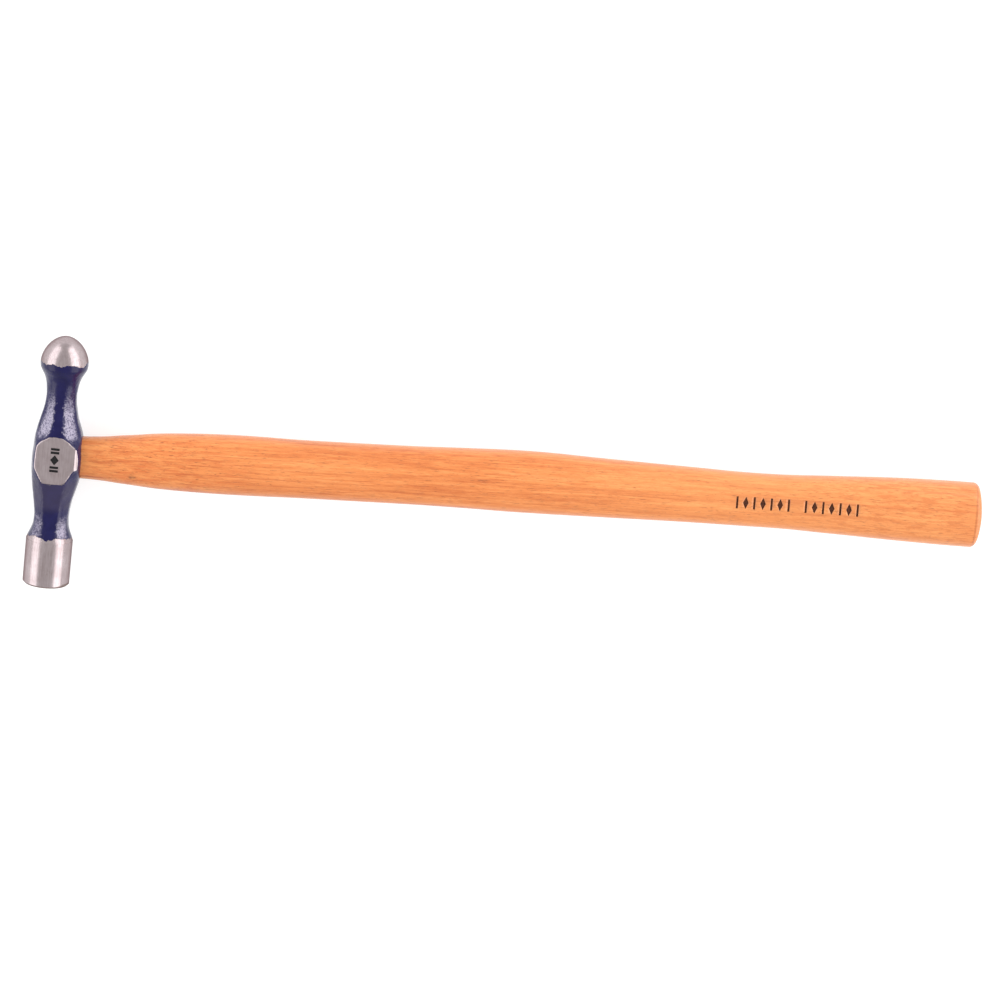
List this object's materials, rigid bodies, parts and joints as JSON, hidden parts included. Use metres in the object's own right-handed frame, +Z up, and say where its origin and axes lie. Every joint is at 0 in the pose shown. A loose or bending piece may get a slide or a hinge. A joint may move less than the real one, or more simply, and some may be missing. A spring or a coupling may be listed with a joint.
{
  "type": "ball peen hammer",
  "caption": "Small ball peen hammer: forged steel head with a ball peen, flat cheeks and a round striking face, wedged on a turned wooden handle.",
  "frame": {"origin": "on the lower cheek flat, under the middle of the eye", "axes": "+X along the handle to the butt, +Y along the head to the ball peen, +Z up, square to the cheeks. The hammer lies on one cheek."},
  "size_m": [0.3227, 0.0865, 0.017],
  "materials": {
    "forged_steel": "dark blue gloss enamel on forged steel, with the ball, the poll and the cheeks ground bare",
    "hickory": "clear lacquer, satin",
    "wedge_wood": "bare",
    "wedge_steel": "bare, dull"
  },
  "bodies": {
    "root": {"head": "forged_steel", "handle": "hickory", "wood_wedge": "wedge_wood", "steel_wedge": "wedge_steel"}
  },
  "joints": []
}
